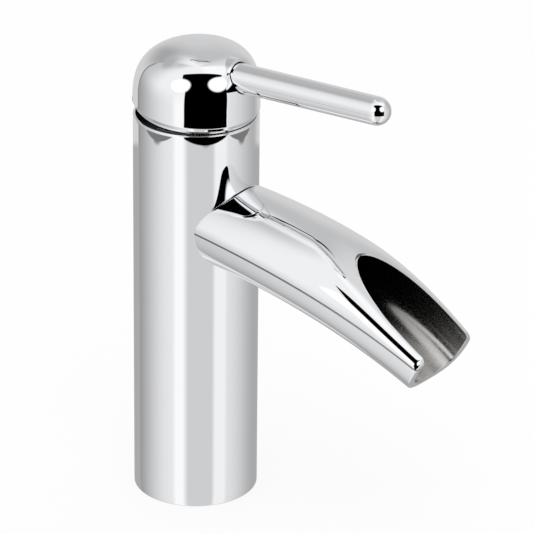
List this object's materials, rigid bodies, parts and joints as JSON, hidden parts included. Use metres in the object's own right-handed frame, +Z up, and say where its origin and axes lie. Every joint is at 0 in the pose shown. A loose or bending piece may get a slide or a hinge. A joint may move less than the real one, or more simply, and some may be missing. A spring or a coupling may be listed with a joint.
{
  "type": "waterfall basin faucet",
  "caption": "Lever basin mixer: round upright column, domed handle with a slim rod lever, and a curved spout that opens into a trough to pour a flat sheet of water.",
  "frame": {"origin": "centre of the column's foot, on the deck", "axes": "+Z up along the column, -Y the way the spout and the lever point, +X the cold side"},
  "size_m": [0.0465, 0.1368, 0.1769],
  "materials": {
    "polished_chrome": "mirror-bright chrome plate on brass",
    "raw_brass": "machined, unplated",
    "tube_steel": "drawn stainless tube",
    "turned_steel": "turned and zinc plated",
    "seal_rubber": "matt black seal rubber",
    "disc_ceramic": "lapped alumina",
    "cartridge_plastic": "moulded, fine matt",
    "dark_plastic": "moulded, matt black",
    "limit_plastic": "moulded, red"
  },
  "bodies": {
    "base": {"column_body": "polished_chrome", "spout_shell": "polished_chrome", "valve_block": "raw_brass", "block_o_rings": "seal_rubber", "hot_inlet_tube": "tube_steel", "cold_inlet_tube": "tube_steel", "tube_o_rings": "seal_rubber", "base_plug": "raw_brass", "base_gasket": "seal_rubber", "cartridge_base": "dark_plastic", "cartridge_housing": "cartridge_plastic", "port_seals": "seal_rubber", "disc_seals": "seal_rubber", "fixed_disc": "disc_ceramic", "retaining_nut": "raw_brass", "nut_cover": "dark_plastic", "hot_limit_ring": "limit_plastic"},
    "turret": {"cartridge_rotor": "cartridge_plastic", "rotor_seal": "seal_rubber", "pivot_pin": "turned_steel"},
    "disc_slide": {"disc_carrier": "cartridge_plastic", "moving_disc": "disc_ceramic"},
    "handle": {"handle_dome": "polished_chrome", "lever_rod": "polished_chrome", "lever_stud": "turned_steel", "stem_adapter": "dark_plastic", "cartridge_stem": "turned_steel"}
  },
  "joints": [
    {"name": "handle_turn", "type": "hinge", "parent": "base", "child": "turret", "pos_m": [0, 0, 0.1587], "axis": [0, 0, 1], "range_deg": [-45, 45]},
    {"name": "handle_lift", "type": "hinge", "parent": "turret", "child": "handle", "pos_m": [0, 0, 0.1587], "axis": [-1, 0, 0], "range_deg": [0, 22]},
    {"name": "disc_travel", "type": "slide", "parent": "turret", "child": "disc_slide", "axis": [0, -1, 0], "range_m": [0, 0.0065]}
  ],
  "couplings": [
    {"joint": "disc_travel", "follows": "handle_lift", "m_per_rad": 0.016896}
  ]
}
